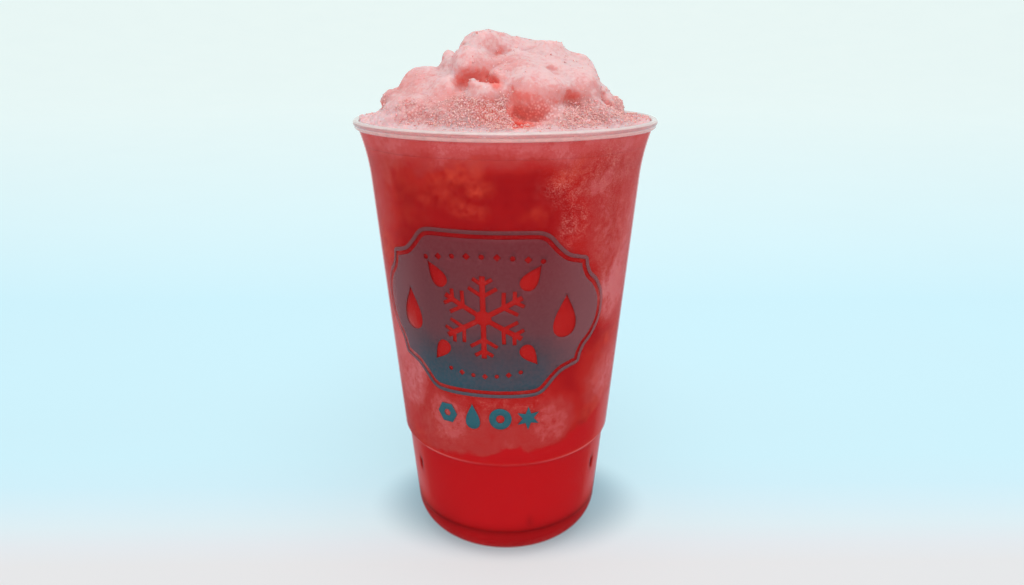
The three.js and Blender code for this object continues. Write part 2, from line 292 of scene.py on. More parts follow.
cup = {
    "height": 148.6,
    "wall": 0.8,
    "footInner": 20, "footOuter": 22.5,
    "panelRise": 2.4, "panelRadius": 16.5,
    "heelHeight": 11, "heelRadius": 33.5,
    "ledge": 39.4, "ledgeRise": 1.6, "underLedge": 35.9, "wallFoot": 37.1,
    "taper": 0.08, "flareStart": 130, "flareGain": 1.75,
    "rimHalfHeight": 1.75,
    "underRim": (47.35, 145.8), "bead": {"at": (48.0, 146.42), "half": 0.6, "arc": (-62, 22)},
    "roll": {"at": (47.95, 147.55), "half": 1.05, "arc": (-54, 180)},
    "sides": 256,
    "lugBearings": (60, 180, 300), "lugHeight": 30, "lugDepth": 0.45, "lugAcross": 1.3, "lugTall": 2.8,
    "tones": {
        "rimStarts": (0.1456, 0.1460), "rimSpan": (0.1458, 0.1486),      # heights in metres
        # the rim's milky colour and milky share by height: partly the curl's own milkiness, partly painted highlight
        # lines at the lower lip and at the crest
        "rim": [(0.0, (246, 176, 172)), (0.34, (255, 212, 207)), (0.5, (228, 164, 166)), (0.72, (232, 180, 180)),
                (0.84, (251, 240, 236))],
        "rimShareWithHighlights": [(0.0, 0.3), (0.14, 0.9), (0.36, 0.95), (0.48, 0.45), (0.7, 0.5), (0.85, 1), (1.0, 0.9)],
        "edge": (243, 172, 174), "haze": 0.012, "glossRoughness": 0.09, "wallShine": 1.16, "rimShine": 1.3,
    },
}
flareTop = cup["height"] - 2 * cup["rimHalfHeight"]
wallStart = cup["ledge"] + cup["ledgeRise"]


def cupRadius(z):
    # outer radius of the cup at a height
    z = np.asarray(z, float)
    drop = np.clip(cup["heelHeight"] - z, 0, cup["heelHeight"]) / cup["heelHeight"]
    heel = cup["footOuter"] + (cup["heelRadius"] - cup["footOuter"]) * np.sqrt(1 - drop ** 2)
    part = (z - cup["heelHeight"]) / (cup["ledge"] - cup["heelHeight"])
    base = cup["heelRadius"] + (cup["underLedge"] - cup["heelRadius"]) * part
    step = cup["underLedge"] + (cup["wallFoot"] - cup["underLedge"]) * (z - cup["ledge"]) / cup["ledgeRise"]
    flare = np.clip(z - cup["flareStart"], 0, None) / (flareTop - cup["flareStart"])
    wall = cup["wallFoot"] + cup["taper"] * (z - wallStart) + cup["flareGain"] * flare ** 2
    return np.where(z < cup["heelHeight"], heel,
                    np.where(z < cup["ledge"], base, np.where(z < wallStart, step, wall)))


def atBearing(radius, bearing, z):
    angle = np.radians(bearing)
    return np.stack([radius * np.sin(angle), -radius * np.cos(angle), z + 0 * angle], axis=-1)


def bearingOf(points):
    return np.degrees(np.arctan2(points[:, 0], -points[:, 1]))


def turnFrom(bearing, middle):
    # degrees from a middle bearing, from -180 to 180
    return (bearing - middle + 540) % 360 - 180


def lugDent(bearing, z):
    # how far the stacking lugs press the wall in
    dent = np.zeros(np.broadcast(bearing, z).shape)
    for lug in cup["lugBearings"]:
        across = np.radians(turnFrom(bearing, lug)) * cupRadius(cup["lugHeight"]) / cup["lugAcross"]
        along = (z - cup["lugHeight"]) / cup["lugTall"]
        dent += cup["lugDepth"] * np.clip(1 - across ** 2 - along ** 2, 0, None)
    return dent


def bandFaces(rowCount, sides):
    # quads between rows of points that each go all round
    row, side = np.meshgrid(np.arange(rowCount - 1), np.arange(sides), indexing="ij")
    here, after = row * sides + side, row * sides + (side + 1) % sides
    return np.stack([here, after, after + sides, here + sides], axis=-1).reshape(-1, 4).tolist()


def fanFaces(last, sides):
    # triangles that close the first row and the last: their two middles come after the last row's points
    low, high = last + sides, last + sides + 1
    return ([(low, (s + 1) % sides, s) for s in range(sides)]
            + [(high, last + s, last + (s + 1) % sides) for s in range(sides)])


def turned(profile, sides):
    # turns a profile of (radius, height) points round the axis
    radius, z = np.array(profile, float).T[:, :, None]
    points = atBearing(radius, np.linspace(0, 360, sides, endpoint=False), z)
    return points.reshape(-1, 3), bandFaces(len(profile), sides)


def heelProfile(inset, steps):
    # (radius, height) points round the heel, this far inside its outer face
    wide, tall = cup["heelRadius"] - cup["footOuter"] - inset, cup["heelHeight"] - inset
    return [(cup["footOuter"] + wide * math.sin(t), cup["heelHeight"] - tall * math.cos(t))
            for t in np.linspace(0, math.pi / 2, steps)]


def makeCupMaterial():
    look = Look("clearCupPlastic")
    look.tree.nodes.remove(look.shader)
    tones = cup["tones"]
    rimPart = look.stretch(look.height, *tones["rimStarts"])
    upRim = look.stretch(look.height, *tones["rimSpan"])

    # seen edge on, the wall takes up the drink's red
    facing = look.facing()
    edge = look.times(look.sums("POWER", facing, 5.0), look.minus(1.0, rimPart))
    clear = look.node("BsdfTransparent", {"Color": look.mix(edge, (255, 255, 255), tones["edge"])})
    # painted highlight lines on the rim, over its own milkiness
    milkWithHighlights = look.ramp(upRim, tones["rim"])
    milky = look.node("MixShader", {
        0: 0.5, 1: look.node("BsdfDiffuse", {"Color": milkWithHighlights})[0], 2: look.node("BsdfTranslucent", {"Color": milkWithHighlights})[0],
    })
    rimShareWithHighlights = look.ramp(upRim, tones["rimShareWithHighlights"])
    rimShareWithHighlights = look.times(rimShareWithHighlights, look.stretch(look.noise(260, 3), 0.3, 0.7, 0.75, 1.1), clamp=True)
    # painted sheen: the rim is milkier where it is seen edge on
    rimShareWithHighlights = look.plus(rimShareWithHighlights, look.times(look.sums("POWER", facing, 3.0), 0.6), clamp=True)
    haze = look.stretch(look.noise(900, 2), 0.35, 0.75, 0.0, tones["haze"])
    share = look.plus(haze, look.times(rimShareWithHighlights, rimPart), clamp=True)
    inner = look.node("MixShader", {0: share, 1: clear[0], 2: milky[0]})

    gloss = look.node("BsdfGlossy", {"Roughness": tones["glossRoughness"], "Color": (255, 255, 255)})
    wallShine = look.times(look.node("Fresnel", {"IOR": tones["wallShine"]})[0], 0.3,
                           look.minus(1.0, look.painted("dent"), clamp=True))
    rimShine = look.node("Fresnel", {"IOR": tones["rimShine"]})[0]
    shine = look.node("Mix", {0: rimPart, 2: wallShine, 3: rimShine})[0]
    whole = look.node("MixShader", {0: shine, 1: inner[0], 2: gloss[0]})
    look.plug(look.tree.nodes["Material Output"].inputs["Surface"], whole[0])
    return look.material


def makeCup():
    wall, ledge, sides = cup["wall"], cup["ledge"], cup["sides"]
    heights = np.concatenate([
        np.arange(12, ledge - 0.2, 0.5), [ledge - 0.15],
        np.linspace(ledge + 0.15, wallStart - 0.15, 4), np.linspace(wallStart + 0.15, wallStart + 1, 3),
        np.arange(wallStart + 4, cup["flareStart"], 8), np.linspace(cup["flareStart"], flareTop, 12),
    ])
    outside = [(cup["panelRadius"], cup["panelRise"]), (cup["footInner"], 0.05), (cup["footInner"] + 0.6, 0)]
    outside += heelProfile(0, 16) + [(float(cupRadius(z)), z) for z in heights]
    rim = [cup["underRim"]]
    for part in (cup["bead"], cup["roll"]):
        for t in np.radians(np.linspace(*part["arc"], 24)):
            rim.append((part["at"][0] + part["half"] * math.cos(t), part["at"][1] + part["half"] * math.sin(t)))
    inside = [(float(cupRadius(z)) - wall, z) for z in heights[::-1]] + heelProfile(wall, 16)[::-1]
    inside += [(cup["footInner"], wall), (cup["panelRadius"], cup["panelRise"] + wall)]
    points, faces = turned(outside + rim + inside, sides)

    # the lugs press both sides of the base wall in
    bearing = bearingOf(points)
    radius = np.hypot(points[:, 0], points[:, 1])
    onBase = (points[:, 2] > 20) & (points[:, 2] < ledge) & (radius > cup["heelRadius"] - 2)
    dent = np.where(onBase, lugDent(bearing, points[:, 2]), 0)
    points[:, :2] *= ((radius - dent) / np.maximum(radius, 1))[:, None]

    # the two middles of the foot panel
    faces += fanFaces(len(points) - sides, sides)
    points = np.vstack([points, [(0, 0, cup["panelRise"]), (0, 0, cup["panelRise"] + wall)]])
    shell = makePiece("cupShell", points, faces, makeCupMaterial(), ["cup"])
    storeValues(shell, "dent", np.append(dent, [0, 0]) * 2 / cup["lugDepth"])
    print("cup turned")


# Melted tea and frozen slush inside the cup

filling = {
    "intoWall": 0.5,
    "meltLevel": 44, "surgeHeight": 15, "surgeBearing": 78, "surgeSpread": 30,
    "ripples": [(1.1, 3, 0.6), (0.7, 7, 2.1)],
    "middleLevel": 45,
    "top": 140.5,
    "seam": 0.05,
    "sides": 360,
    "rowStep": 0.8,
}


def fillRadius(z):
    return cupRadius(z) - cup["wall"] + filling["intoWall"]


def meltEdge(bearing):
    # height of the edge between the melt and the slush, at the wall
    angle = np.radians(bearing - 90)
    turn = turnFrom(filling["surgeBearing"], bearing)
    level = filling["meltLevel"] + filling["surgeHeight"] * bump(turn, 0, filling["surgeSpread"])
    for height, turns, phase in filling["ripples"]:
        level = level + height * np.sin(turns * angle + phase)
    around = 36.0 * np.stack([np.sin(angle), np.cos(angle), 0 * angle], axis=-1)
    return level + 0.9 * softNoise(around, 5.0) + 0.45 * softNoise(around, 2.0)


def surfaceAt(part, bearing):
    return filling["middleLevel"] + (meltEdge(bearing) - filling["middleLevel"]) * part ** 2


def grownSolid(rows):
    # a closed solid from rows of points, each row all round; the first and last rows end in a fan
    sides = len(rows[0])
    points = np.vstack(rows)
    faces = bandFaces(len(rows), sides) + fanFaces(len(points) - sides, sides)
    return np.vstack([points, rows[0].mean(0), rows[-1].mean(0)]), faces


# Soft patches on the slush: bearing and height of the middle, half size in both, how strong, how soft the edge
# is, and how far the patch leans upwards to the right (mm per degree).
slushPatches = {
    "frost": {
        "rightTop": (53, 126, 28, 26, 0.54, 0.5, 0.1),
        "rightCloud": (40, 133, 16, 6, 0.66, 0.8, 0.2),
        "rightEdge": (72, 112, 22, 34, 0.78, 0.6, 0),
        "rightMiddle": (60, 99, 22, 15, 0.9, 0.5, 0),
        "leftTop": (-68, 126, 22, 26, 0.5, 0.7, 0),
        "leftCloud": (-56, 136, 14, 7, 0.46, 0.8, -0.1),
        "leftEdge": (-80, 100, 15, 40, 0.7, 0.8, 0),
        "leftLow": (-60, 72, 28, 23, 0.85, 0.5, 0),
        "behindPrint": (-6, 90, 48, 26, 0.26, 0.6, 0),
        "lowFront": (-16, 55, 46, 26, 0.46, 0.45, 0.02),
        "lowFrontPale": (-30, 56, 18, 12, 0.66, 0.7, 0.05),
        "lowRight": (22, 55, 18, 12, 0.6, 0.6, 0.1),
        "rightLow": (62, 66, 28, 17, 0.8, 0.7, 0),
        "band": (0, 147, 500, 12, 0.88, 0.9, 0),
        "backUpper": (150, 112, 46, 24, 0.8, 0.6, -0.1),
        "backLow": (190, 64, 60, 20, 0.75, 0.5, 0.04),
        "backLeft": (-124, 92, 24, 40, 0.65, 0.6, 0.2),
    },
    "glow": {
        "topLeft": (-18, 136, 14, 4, 0.85, 0.8, 0.08),
        "topLeftTail": (-26, 131, 12, 4, 0.65, 0.9, 0.1),
        "middleLeft": (-15, 127, 9, 3.6, 0.85, 0.8, -0.1),
        "middleSpot": (-8, 132.5, 5, 2.6, 0.8, 0.8, 0),
        "middleRight": (11, 125.5, 6, 2.6, 0.5, 0.9, 0),
        "topRight": (24, 137, 10, 4, 0.6, 0.9, 0),
        "leftShoulder": (-46, 130, 20, 16, 0.45, 0.9, 0),
        "brightPatch": (-63, 111, 10, 10, 1.0, 0.6, 0.2),
        "redBand": (56, 80, 18, 4.5, 0.75, 0.7, 0.15),
        "orangeBand": (48, 69, 12, 9, 0.34, 0.8, 0),
        "rightFoot": (52, 54, 16, 9, 0.75, 0.8, 0),
        "leftFoot": (-56, 45, 18, 4, 0.6, 0.8, -0.1),
        "backGlow": (205, 124, 20, 8, 0.7, 0.8, 0),
        "backSeam": (130, 84, 34, 4, 0.8, 0.7, 0.1),
    },
    "speckle": {
        "topRight": (24, 133, 13, 7, 0.85, 0.8, 0),
        "rightShoulder": (46, 137, 20, 9, 1.0, 0.8, 0),
        "rightRun": (26, 123, 8, 10, 0.85, 0.8, 0),
        "rightEdge": (54, 112, 20, 28, 0.6, 0.8, 0),
        "topMiddle": (-4, 139, 24, 4, 0.1, 0.8, 0),
        "leftTop": (-52, 138, 12, 6, 0.4, 0.8, 0),
        "lowFront": (0, 64, 30, 3, 0.5, 0.8, 0),
        "lowLeft": (-38, 52, 26, 8, 0.35, 0.8, 0),
        "backPatch": (160, 126, 26, 12, 0.7, 0.8, 0),
    },
    "clear": {
        "deepTop": (-8, 128, 38, 10, 0.9, 0.7, 0),
        "rightWedge": (46, 53, 12, 6, 0.6, 0.7, 0.3),
        "topClear": (12, 138, 10, 5, 0.7, 0.9, 0),
        # painted shadow of the plaque: less frost, so darker red, just below the print
        "plaqueShadow": (-8, 65, 32, 4.5, 0.6, 0.9, 0),
        "redSeam": (54, 80, 20, 4.5, 0.5, 0.7, 0.15),
        "leftClear": (-62, 111, 10, 8, 0.7, 0.7, 0.2),
        "backDeep": (215, 122, 26, 10, 0.8, 0.7, 0),
    },
}
# height to which red melt has soaked the slush at the wall, by bearing
soakedTo = [(-180, 46), (-120, 43), (-90, 38.5), (-70, 37.8), (-58.5, 38.9), (-42.8, 41.1), (-37.5, 41.4),
            (-27.6, 42.7), (-21.7, 43.4), (-13.6, 42.9), (-8.3, 43.9), (-4.2, 45.7), (-0.7, 47), (6.8, 47.3),
            (14.6, 45.3), (22.8, 45.6), (28.4, 47.5), (33.3, 48.1), (37.8, 49.4), (45, 50.5), (50.6, 52.7),
            (60, 56), (80, 57), (120, 54), (180, 46)]
# the melt's tones: darker with painted shade, warmer with painted light at the sides, pinker with a painted sheen, a
# painted glint on the ledge, specks, and painted shadows beside the lugs
meltTones = {
    "depth": [(0.0, (192, 23, 29)), (0.5, (158, 16, 20)), (1.0, (96, 6, 12))],
    "side": (206, 62, 46), "turned": (226, 132, 138), "ledge": (232, 100, 80), "dust": (214, 70, 54),
    "lugShadow": (122, 10, 16),
}
# in the melt, in mm and degrees: painted shade lines at the heel (height, half width, strength), painted shade
# towards the foot (from, to, strength), painted light at the warmer sides, a painted sheen, the ledge's painted
# glint, a dark spot and painted shadows beside the lugs
meltMarks = {
    "shadeLines": [(11.6, 0.62, 0.75), (12.6, 1.6, 0.22)], "shade": [(9.5, 12, 0.2), (1, 5, 0.25), (12, 24, 0.12)],
    "sideTurn": (44, 68), "sideHeight": (9, 16), "sheenHeight": (13, 20),
    "glintTurn": (16, 60), "glintHeight": (40.8, 0.42),
    "darkSpotTurn": (13.7, 1.9), "darkSpotHeight": (15.8, 2.2), "lugShadowTurn": 2.3, "lugHeight": 2.7,
}
slushTones = {
    "frost": [(0.0, (154, 16, 22)), (0.1, (168, 24, 27)), (0.28, (182, 33, 32)), (0.55, (183, 55, 53)),
              (0.8, (197, 85, 85)), (1.0, (210, 115, 118))],
    "lit": (228, 86, 84), "litHeight": (0.137, 0.146), "glow": (212, 72, 54), "speckle": (220, 132, 123),
}


def patchValues(kind, bearing, z):
    # the strongest patch of this kind at each point, with uneven edges
    around = atBearing(42.0, bearing, z)
    bearing = bearing + 4.5 * softNoise(around, 9.0, 3.1) + 2.0 * softNoise(around, 3.5, 5.7)
    z = z + 2.6 * softNoise(around, 8.0, 9.3) + 1.1 * softNoise(around, 3.0, 1.7)
    value = np.zeros(len(around))
    for middle, level, wide, tall, strength, soft, lean in slushPatches[kind].values():
        turn = turnFrom(bearing, middle)
        reach = np.sqrt((turn / wide) ** 2 + ((z - level - lean * turn) / tall) ** 2)
        value = np.maximum(value, strength * (1 - easeBetween(1 - soft, 1 + 0.35 * soft, reach)))
    return value


def meltColour(look):
    # darker with the painted shade at the heel and towards the foot, and with uneven murk
    murk = look.stretch(look.noise(60, 3, 0.5), 0.3, 0.7, -0.06, 0.06)
    base = look.ramp(look.plus(look.painted("paintedShade"), murk, clamp=True), meltTones["depth"])
    # painted light: warmer at the sides, where light comes through
    base = look.mix(look.painted("side"), base, meltTones["side"])
    # painted sheen: pinker where the wall is seen edge on, above the heel
    turned = look.times(look.painted("turned"), look.stretch(look.facing(), 0.62, 0.9))
    base = look.mix(turned, base, meltTones["turned"])
    # painted glint along the ledge
    base = look.mix(look.painted("ledge"), base, meltTones["ledge"])
    base = look.mix(look.stretch(look.cells(420), 0.16, 0.06, 0, 0.25), base, meltTones["dust"])
    # painted shadows beside the lugs, and a dark spot
    return look.mix(look.painted("mark"), base, meltTones["lugShadow"])


def slushColour(look):
    def uneven(perMetre, gain, detail):
        return look.times(look.minus(look.noise(perMetre, detail, 0.6), 0.5), gain)

    frost = look.painted("frost")
    clouds = look.plus(uneven(110, 0.42, 4), uneven(300, 0.42, 3))
    grit = look.plus(uneven(700, 0.32, 3), uneven(1700, 0.3, 2))
    level = look.times(look.plus(clouds, grit), look.plus(0.42, frost))
    base = look.ramp(look.plus(frost, 0.07, level, clamp=True), slushTones["frost"])
    # brighter under the rim, and at the sides, where light comes through
    atSides = look.times(look.painted("side"), 0.7)
    lit = look.plus(look.stretch(look.height, *slushTones["litHeight"], 0, 0.5), atSides, clamp=True)
    base = look.mix(lit, base, slushTones["lit"])
    wisps = look.noise(330, 4, 0.6, 0.4)
    glowing = look.times(look.painted("glow"), look.stretch(wisps, 0.34, 0.68), clamp=True)
    base = look.mix(glowing, base, slushTones["glow"])
    flecks = look.stretch(look.noise(2300, 2, 0.7), 0.42, 0.66)
    shown = look.times(flecks, look.stretch(wisps, 0.4, 0.62, 0.1, 0.82))
    shown = look.plus(shown, look.stretch(look.cells(1500), 0.26, 0.06, 0, 0.45), clamp=True)
    return look.mix(look.times(shown, look.painted("speckle"), clamp=True), base, slushTones["speckle"])


def makeDrinkMaterial(name):
    # below its visible edge the drink looks melted, above it frozen
    look = Look(name)
    fuzz = look.plus(look.noise(420, 4, 0.7), look.noise(150, 2))
    above = look.plus(look.painted("above"), look.stretch(fuzz, 0.7, 1.3, -1.1, 1.1))
    frozen = look.stretch(above, -0.5, 1.1, curve="SMOOTHSTEP")
    look.give({
        "Base Color": look.mix(frozen, meltColour(look), slushColour(look)), "Roughness": 0.5,
        "Specular IOR Level": 0.0, "Subsurface Weight": 0.25, "Subsurface Scale": 0.002,
    })
    return look.material


def paintDrink(piece, points):
    bearing, z = bearingOf(points), points[:, 2]
    storeValues(piece, "frost", patchValues("frost", bearing, z) * (1 - patchValues("clear", bearing, z)))
    storeValues(piece, "glow", patchValues("glow", bearing, z))
    storeValues(piece, "speckle", patchValues("speckle", bearing, z))
    soak = np.interp(bearing, *np.array(soakedTo, float).T)
    storeValues(piece, "above", np.clip(z - soak + 0.7 * softNoise(points, 2.0, 1.3), -5, 5))

    marks, away = meltMarks, np.abs(bearing)
    # painted shade: dark lines at the heel and darker towards the foot
    paintedShade = sum(strength * bump(z, level, tall) for level, tall, strength in marks["shadeLines"])
    paintedShade = paintedShade + sum(strength * (1 - easeBetween(low, high, z)) for low, high, strength in marks["shade"])
    storeValues(piece, "paintedShade", np.clip(paintedShade, 0, 1))
    # painted light at the sides
    storeValues(piece, "side", 0.5 * easeBetween(*marks["sideTurn"], away) * easeBetween(*marks["sideHeight"], z))
    # how high the painted sheen reaches
    storeValues(piece, "turned", 0.6 * easeBetween(*marks["sheenHeight"], z))
    # the ledge's painted glint, strongest towards the sides
    glint = 0.1 + 0.75 * easeBetween(*marks["glintTurn"], away)
    storeValues(piece, "ledge", glint * bump(z, *marks["glintHeight"]))
    # a dark spot low down near the front
    mark = 0.5 * bump(bearing, *marks["darkSpotTurn"]) * bump(z, *marks["darkSpotHeight"])
    mark = mark * (1 + 0.5 * softNoise(points, 1.5))
    # painted shadows beside the lugs
    for lug in cup["lugBearings"]:
        lugShadow = bump(turnFrom(bearing, lug), 0, marks["lugShadowTurn"]) * bump(z, cup["lugHeight"], marks["lugHeight"])
        mark = np.maximum(mark, 1.1 * lugShadow)
    storeValues(piece, "mark", np.clip(mark, 0, 1))


def makeFilling():
    ledge, seam, top = cup["ledge"], filling["seam"], filling["top"]
    bearings = np.linspace(0, 360, filling["sides"], endpoint=False)
    edge = meltEdge(bearings)

    def inside(part):
        # a row on the surface between the two, at this part of the way out to the wall
        return atBearing(part * fillRadius(edge), bearings, surfaceAt(part, bearings))

    # melt: floor, heel, base wall, then its own uneven surface
    inset = cup["wall"] - filling["intoWall"]
    floor = [(8, cup["panelRise"] + inset), (cup["panelRadius"], cup["panelRise"] + inset), (cup["footInner"], inset)]
    rows = [atBearing(radius, bearings, z) for radius, z in floor + heelProfile(inset, 14)]
    steps = int((ledge - 12) / filling["rowStep"])
    for z in [*np.linspace(12, ledge, steps), *np.linspace(ledge + 0.3, wallStart + 0.4, 7)]:
        rows.append(atBearing(fillRadius(z) - lugDent(bearings, z), bearings, z))
    for part in np.linspace(0.25, 1, 5):
        z = wallStart + 0.4 + (edge - wallStart - 0.4) * part
        if part == 1:
            rows.append(atBearing(fillRadius(z - seam), bearings, z - seam))
        rows.append(atBearing(fillRadius(z), bearings, z))
    rows += [inside(part) for part in (0.97, 0.85, 0.6, 0.3)]
    points, faces = grownSolid(rows)
    melt = makePiece("meltBody", points, faces, makeDrinkMaterial("redMelt"), ["melt"])
    paintDrink(melt, points)

    # slush: from the melt's surface up to where the crown begins
    rows = [inside(part) for part in (0.3, 0.6, 0.85, 0.97)]
    for part in np.linspace(0, 1, int((top - filling["meltLevel"]) / filling["rowStep"])):
        z = edge + (top - edge) * part
        rows.append(atBearing(fillRadius(z), bearings, z))
        if part == 0:
            rows.append(atBearing(fillRadius(z + seam), bearings, z + seam))
    tuck = top + 0.6                       # closes the joint under the crown
    rows.append(atBearing(fillRadius(tuck) - 0.03, bearings, tuck))
    rows += [atBearing(part * fillRadius(tuck), bearings, tuck) for part in (0.8, 0.4)]
    points, faces = grownSolid(rows)
    slushMaterial = makeDrinkMaterial("redSlush")
    slush = makePiece("slushBody", points, faces, slushMaterial, ["slush"])
    paintDrink(slush, points)
    print("cup filled")
    return slushMaterial


# Crown: a heap of slush above the rim. Each lump or hollow: middle, half size and how softly it joins the rest.

crown = {
    "voxel": 0.42,
    "reach": 48.2, "floor": 140.5, "ceiling": 177.0,       # the room that it is worked out in
    # depth, how much deeper on the foam, size of the bumps and where their noise starts
    "relief": [(0.42, 0, 5.5, 0), (0.32, 0, 2.6, 8), (0.17, 0.13, 1.3, 4)],
    "heap": (0, 4, 146, 31, 29, 19.5),
    "bed": (0, 0, 141, 60, 60, 10.8, 4),
    "lumps": {
        "top": (-5.9, -1, 169.4, 8.2, 8, 5.5, 1.8),
        "topRight": (3.5, 3, 167.2, 8.5, 9, 5.9, 3),
        "rightMass": (12.8, 1, 163.8, 8.6, 12, 8.5, 3),
        "rightShoulder": (22.4, -2, 159.3, 7.3, 10, 8.5, 3),
        "rightBand": (13.6, -12, 161, 7.3, 8, 5.4, 3.5),
        "rightStep": (28.2, -5, 156.4, 4.3, 6, 3.5, 1.8),
        "leftCentre": (-9.9, -10, 163.7, 7.6, 9.5, 6, 2.6),
        "leftHorn": (-17.6, -2, 166.3, 2.0, 3.6, 2.9, 1.2),
        "leftNeck": (-16.6, -6, 162.2, 2.6, 6, 4.2, 2),
        "hornFront": (-16, -6.5, 163.4, 4, 5, 3.6, 3),
        "creaseFill": (0.8, -12, 165.2, 3.5, 4, 3, 3),
        "frontBall": (8.6, -22.5, 156.9, 9.1, 9.8, 7.8, 2),
        "ballNeck": (-1.8, -21.4, 159.8, 3.2, 5, 4.4, 3),
        "ballBack": (4.5, -15, 162, 7.5, 7.5, 4.4, 4),
        "pitFill": (18.5, -18, 155.8, 7, 7.4, 6.2, 4),
        "shelf": (-6.4, -24.5, 154, 7, 8.4, 5.4, 3),
        "shelfFront": (-7, -29, 152.6, 8, 6, 4.6, 4),
        "foamBank": (-9, -31.5, 149.4, 9, 7, 3.6, 4),
        "crestPeak": (-9.3, -27.8, 159.4, 1.6, 2.4, 2.3, 1.4),
        "leftMass": (-23.4, -6, 158.5, 9.4, 9.5, 5.7, 2.5),
        "leftFill": (-16.2, -14, 157.2, 5.6, 8, 5.2, 4),
        "farLeft": (-33.6, -5, 154.5, 5.6, 7.5, 3.5, 1.6),
        "leftApron": (-24, -17, 152.6, 11, 9, 5.6, 5),
        "leftSlope": (-26, -15, 148.6, 13.6, 13, 5.2, 4),
        "leftBank": (-14.2, -24, 151.1, 7.6, 9, 6.5, 4),
        "rightLump": (22.3, -14.5, 159, 6.2, 8, 5.6, 3.2),
        "rightEdge": (31.4, -7, 150.6, 6, 9, 5.1, 2.4),
        "rightFill": (25.5, -12, 154, 6, 8, 5.4, 4),
        "topFill": (4, -8, 165, 4.5, 5, 3.6, 4),
        "leftLobe": (-42.6, -5, 148.2, 4.4, 4.5, 2.0, 1.6),
        "rightFoot": (25.6, -20, 149, 9, 9, 5.1, 2.6),
        "ballFoot": (16, -27.5, 150.4, 4.6, 5, 3.2, 4),
    },
    "ridges": {
        "fold": {"count": 7, "start": (-11.5, -9, 168.0), "end": (2.6, -9, 167.8), "sag": (0.6, -3, -3.2),
                 "half": (3.0, 4, 2.2), "soft": 2.2},
        "crest": {"count": 6, "start": (-9.6, -27, 157.8), "end": (-3.0, -28.2, 156.0), "sag": (0, -0.4, -0.2),
                  "half": (2.0, 3.0, 2.2), "soft": 3},
    },
    "backRows": [
        {"count": 7, "from": 24, "to": 158, "reach": 29, "level": 151.6, "half": 7.4, "tall": 6.8, "phase": 0},
        {"count": 4, "from": 28, "to": 136, "reach": 18, "level": 159, "half": 8.2, "tall": 7.4, "phase": 1.3},
    ],
    "hollows": {
        "dimple": (-0.9, -11.6, 170.5, 3.0, 4, 1.5, 4),
        "valleyLeft": (-13.0, -22.6, 159.8, 2.0, 3.6, 1.7, 2.6),
        "valleyMiddle": (-8.4, -21.8, 161.4, 3.4, 3.4, 1.6, 3),
        "valleyRight": (-4.4, -23.4, 158.9, 2.5, 3.8, 2.2, 2.4),
        "rightPit": (19.4, -27, 155.6, 2.2, 3.0, 1.9, 2.2),
        "rightGroove": (30.4, -16, 154.6, 1.3, 2.2, 3.4, 3),
        "ballNick": (14.2, -21, 164.2, 1.9, 2.8, 0.9, 1.4),
        "leftHole": (-31.6, -17, 150.3, 1.7, 2.2, 1.2, 0.9),
        "wetNotch": (3.6, -33.5, 148.6, 3.8, 2.6, 1.0, 1.0),
    },
}


def lumpDistance(spots, lump):
    # about how far each spot is outside a lump
    away = [(s - lump[i]) / lump[i + 3] for i, s in enumerate(spots)]
    reach = np.sqrt(sum(a * a for a in away))
    slope = np.sqrt(sum((a / lump[i + 3]) ** 2 for i, a in enumerate(away)))
    return reach * (reach - 1) / np.maximum(slope, 1e-9)


def softMin(a, b, soft):
    overlap = np.maximum(soft - np.abs(a - b), 0) / soft
    return np.minimum(a, b) - overlap ** 2 * soft / 4


def allLumps():
    lumps = list(crown["lumps"].values())
    for ridge in crown["ridges"].values():
        for part in np.linspace(0, 1, ridge["count"]):
            dip = 1 - (2 * part - 1) ** 2
            at = [a + (b - a) * part + s * dip for a, b, s in zip(ridge["start"], ridge["end"], ridge["sag"])]
            lumps.append((*at, *ridge["half"], ridge["soft"]))
    for row in crown["backRows"]:
        for i, degrees in enumerate(np.linspace(row["from"], row["to"], row["count"])):
            angle = math.radians(degrees)
            drift = math.sin(i * 2.4 + row["phase"])
            wide = row["half"] + 0.9 * drift
            lumps.append((row["reach"] * math.cos(angle), row["reach"] * math.sin(angle), row["level"] + 1.2 * drift,
                          wide, wide, row["tall"] + 0.8 * drift, 3.2))
    return lumps


def swayed(x, y, z):
    # slow waves that bend the lumps, so that none of them is a clean ellipsoid
    def wave(a, b, start):
        return (0.4 * np.sin(0.27 * a + 0.23 * b + 1 + start)
                + 0.22 * np.sin(-0.31 * a + 0.57 * b + 2 + start))

    return x + wave(y, z, 0), y + wave(z, x, 2), z + wave(x, -y, 4)


def blurBox(field, radius):
    # box blur along each axis
    for axis in range(3):
        width = 2 * radius + 1
        padded = np.concatenate([np.repeat(np.take(field, [0], axis), radius + 1, axis), field,
                                 np.repeat(np.take(field, [-1], axis), radius, axis)], axis)
        total = np.cumsum(padded, axis=axis, dtype=np.float64)
        size = field.shape[axis]
        high = np.take(total, np.arange(width, width + size), axis)
        low = np.take(total, np.arange(0, size), axis)
        field = ((high - low) / width).astype(np.float32)
    return field


